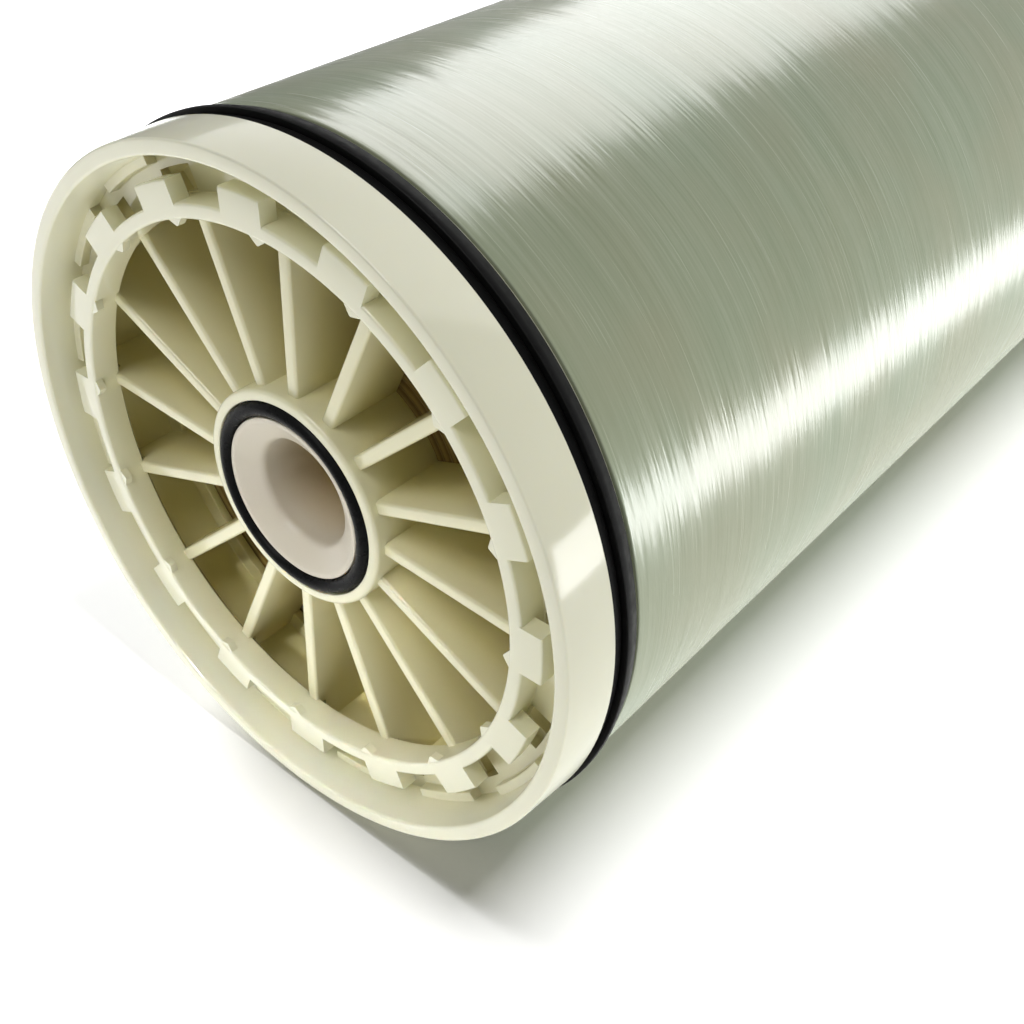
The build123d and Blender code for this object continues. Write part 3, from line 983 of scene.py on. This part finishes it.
def share_light(name, pieces, state, lamps):
    """Lets lamps light some pieces alone, or everything but those pieces."""
    group = bpy.data.collections.new(name)
    for piece in pieces:
        group.objects.link(piece)
    for member in group.collection_objects:
        member.light_linking.link_state = state
    for lamp in lamps:
        lamp.light_linking.receiver_collection = group


class ELEMENT_OT_stage(bpy.types.Operator):
    """Sets up the floor, the backdrop, the lamps, the world and the camera"""

    bl_idname = "element.stage"
    bl_label = "Stage"
    bl_options = {"REGISTER", "UNDO"}

    def execute(self, context):
        colours = context.scene.element_colours
        scene = context.scene
        scene.view_settings.view_transform = "Standard"

        floor_width = 12.0
        sheet_width = 6.0
        sheet_gap = 0.2 * MM
        deselect_all()
        bpy.ops.mesh.primitive_plane_add(size=floor_width, location=(0, 0, 0))
        floor = bpy.context.object
        floor.name = "pale_floor"
        paper, tree = new_finish("white_paper_floor")
        matt = add_node(tree, "ShaderNodeBsdfDiffuse", {"Color": tuple(colours.stage_white)})
        show(tree, matt.outputs["BSDF"])
        floor.data.materials.append(paper)

        # A sheet of paper along the element's side, on which the photographed element lies.
        # It shows only from its front and stops no lamp, so that it hides nothing in other views.
        deselect_all()
        bpy.ops.mesh.primitive_plane_add(
            size=sheet_width,
            location=(0, -LIP_RADIUS - sheet_gap, sheet_width / 2),
            rotation=(-math.pi / 2, 0, 0),
        )
        backdrop = bpy.context.object
        backdrop.name = "white_backdrop"
        sheet, tree = new_finish("white_paper_backdrop")
        ray = add_node(tree, "ShaderNodeLightPath")
        face = add_node(tree, "ShaderNodeNewGeometry")
        hidden = add_node(tree, "ShaderNodeMath", {
            0: face.outputs["Backfacing"], 1: ray.outputs["Is Shadow Ray"],
        }, operation="MAXIMUM")
        matt = add_node(tree, "ShaderNodeBsdfDiffuse", {"Color": tuple(colours.stage_white)})
        glow = add_node(tree, "ShaderNodeEmission", {"Strength": 0.02})
        lit = add_node(tree, "ShaderNodeAddShader", {
            0: matt.outputs["BSDF"], 1: glow.outputs["Emission"],
        })
        clear = add_node(tree, "ShaderNodeBsdfTransparent")
        mixed = add_node(tree, "ShaderNodeMixShader", {
            0: hidden.outputs["Value"], 1: lit.outputs["Shader"], 2: clear.outputs["BSDF"],
        })
        show(tree, mixed.outputs["Shader"])
        backdrop.data.materials.append(sheet)

        world = bpy.data.worlds.new("soft_white_room")
        world.use_nodes = True
        tree = world.node_tree
        tree.nodes.clear()
        ray = add_node(tree, "ShaderNodeLightPath")
        room = add_node(tree, "ShaderNodeBackground", {"Color": WHITE, "Strength": 0.05})
        white = add_node(tree, "ShaderNodeBackground", {"Color": WHITE, "Strength": 1.0})
        shiny = add_node(tree, "ShaderNodeMath", {
            0: ray.outputs["Is Glossy Ray"], 1: ray.outputs["Is Transmission Ray"],
        }, operation="MAXIMUM")
        seen = add_node(tree, "ShaderNodeMath", {
            0: ray.outputs["Is Camera Ray"], 1: shiny.outputs["Value"],
        }, operation="MAXIMUM")
        mixed = add_node(tree, "ShaderNodeMixShader", {
            0: seen.outputs["Value"], 1: room.outputs["Background"], 2: white.outputs["Background"],
        })
        add_node(tree, "ShaderNodeOutputWorld", {"Surface": mixed.outputs["Shader"]})
        scene.world = world

        # Soft light on the element, which shows in no reflection apart from the front one
        softbox = (0.6, 0.6)
        front = add_lamp(
            "front_softbox", place=(0.0, 1.2, 1.65), target=(0, 0, 1.0), upright=ALONG_X,
            size=softbox, power=6.5,
        )
        side = add_lamp(
            "side_softbox", place=(1.2, 0.0, 0.6), target=(0, 0, 0.85), upright=ALONG_Y,
            size=softbox, power=5.5,
        )
        shell_side = add_lamp(
            "shell_softbox", place=(1.1, -0.55, 0.75), target=(0, 0, 0.85), upright=ALONG_Y,
            size=softbox, power=6.2,
        )
        low = add_lamp(
            "low_softbox", place=(0.05, -0.35, 1.25), target=(0, 0, 1.0), upright=ALONG_X,
            size=(0.3, 0.3), power=0.3,
        )
        overhead = add_lamp(
            "overhead_softbox", place=(0.0, 1.25, 0.6), target=(0, 0, 0.9), upright=ALONG_Z,
            size=softbox, power=5.0,
        )
        for lamp in (side, shell_side, low, overhead):
            lamp.visible_glossy = False

        # A narrow beam on the cap's lower rim
        spot = add_lamp(
            "rim_spot", place=(0.05, 0.45, 1.65), target=(0, -0.09, 1.03), upright=ALONG_X,
            size=(0.05, 0.05), power=0.026, spread=15.0,
        )

        # Strips that show only as bands of gloss along the shell, and a weaker one on the cap's skirt
        right_side = {
            "place": (0.2388, -0.0332, 0.7229),
            "target": (0.05, 0.0094, 0.7729),
            "upright": (0.276, 0.1, 0.956),
            "size": (0.063, 0.444),
            "spread": 112.0,
        }
        right_strip = add_lamp("right_strip", power=0.42, **right_side)
        skirt_strip = add_lamp("skirt_strip", power=0.19, **right_side)
        back_strip = add_lamp(
            "back_strip", place=(-0.0677, 0.2629, 0.6718), target=(-0.0067, 0.0839, 0.7368),
            upright=(-0.051, 0.326, 0.944), size=(0.294, 0.41), power=1.15, spread=120.0,
        )
        # A wide panel that shows as a white sheen on the cap's skirt
        panel = add_lamp(
            "cap_panel", place=(-0.14, 0.50, 0.72), target=(0, 0.05, 1.02), upright=ALONG_Z,
            size=(1.0, 1.0), power=3.4,
        )
        for lamp in (right_strip, skirt_strip, back_strip, panel):
            lamp.visible_diffuse = False

        # Two lamps that light the paper alone, and throw the element's shadow on it
        paper_key = add_lamp(
            "paper_key", place=(0.41, 1.25, 0.975), target=(0, 0, 0.95), upright=ALONG_Z,
            size=(0.5, 0.25), power=18.5,
        )
        paper_left = add_lamp(
            "paper_left", place=(-0.9, 0.45, 0.85), target=(-0.1, -0.1, 0.95), upright=ALONG_Z,
            size=(0.75, 0.75), power=17.0,
        )
        cap = bpy.data.objects["feed_cap_moulding"]
        shell = bpy.data.objects["wound_shell"]
        share_light("on_paper", [backdrop], "INCLUDE", [paper_key, paper_left])
        share_light("on_shell", [shell], "INCLUDE", [shell_side, right_strip, back_strip])
        share_light("on_cap", [cap], "INCLUDE", [skirt_strip, panel])
        share_light("off_paper", [backdrop], "EXCLUDE", [front, side, low, overhead, spot])

        camera = bpy.data.cameras.new("photo_camera")
        camera.sensor_width = 36.0
        camera.lens = 46.189
        camera.shift_x = 0.02849
        camera.shift_y = -0.07099
        camera.clip_start = 0.01
        camera.clip_end = 100.0
        eye = bpy.data.objects.new("photo_camera", camera)
        place = Vector((0.22022, 0.20841, 1.19054))
        right = Vector((0.75344, -0.01445, -0.65736)).normalized()
        forward = Vector((-0.54659, -0.56947, -0.61396)).normalized()
        up = right.cross(forward).normalized()
        right = forward.cross(up).normalized()
        turn = Matrix((right, up, -forward)).transposed()
        eye.matrix_world = Matrix.Translation(place) @ turn.to_4x4()
        scene.collection.objects.link(eye)
        scene.camera = eye
        return {"FINISHED"}


class ELEMENT_PT_panel(bpy.types.Panel):
    """Lists the element's pieces and sizes in the sidebar"""

    bl_idname = "ELEMENT_PT_panel"
    bl_label = "Reverse Osmosis Element"
    bl_space_type = "VIEW_3D"
    bl_region_type = "UI"
    bl_category = "Element"

    def draw(self, context):
        layout = self.layout
        for operator in OPERATORS:
            layout.operator(operator.bl_idname)
        scene = context.scene
        for group in (scene.element_cap, scene.element_tube, scene.element_colours):
            box = layout.box()
            for name in group.bl_rna.properties.keys():
                if name not in ("rna_type", "name"):
                    box.prop(group, name)


GROUPS = (CapSizes, TubeSizes, FinishColours)
OPERATORS = (
    ELEMENT_OT_feed_cap,
    ELEMENT_OT_hub_o_ring,
    ELEMENT_OT_brine_seal,
    ELEMENT_OT_shell,
    ELEMENT_OT_permeate_tube,
    ELEMENT_OT_membrane_roll,
    ELEMENT_OT_discharge_cap,
    ELEMENT_OT_stage,
)


def register():
    for group in (*GROUPS, *OPERATORS, ELEMENT_PT_panel):
        bpy.utils.register_class(group)
    bpy.types.Scene.element_cap = bpy.props.PointerProperty(type=CapSizes)
    bpy.types.Scene.element_tube = bpy.props.PointerProperty(type=TubeSizes)
    bpy.types.Scene.element_colours = bpy.props.PointerProperty(type=FinishColours)


def unregister():
    del bpy.types.Scene.element_colours
    del bpy.types.Scene.element_tube
    del bpy.types.Scene.element_cap
    for group in (ELEMENT_PT_panel, *OPERATORS[::-1], *GROUPS[::-1]):
        bpy.utils.unregister_class(group)


def main():
    register()
    bpy.ops.element.feed_cap()
    bpy.ops.element.hub_o_ring()
    bpy.ops.element.brine_seal()
    bpy.ops.element.shell()
    bpy.ops.element.permeate_tube()
    bpy.ops.element.membrane_roll()
    bpy.ops.element.discharge_cap()
    bpy.ops.element.stage()


if __name__ == "__main__":
    main()
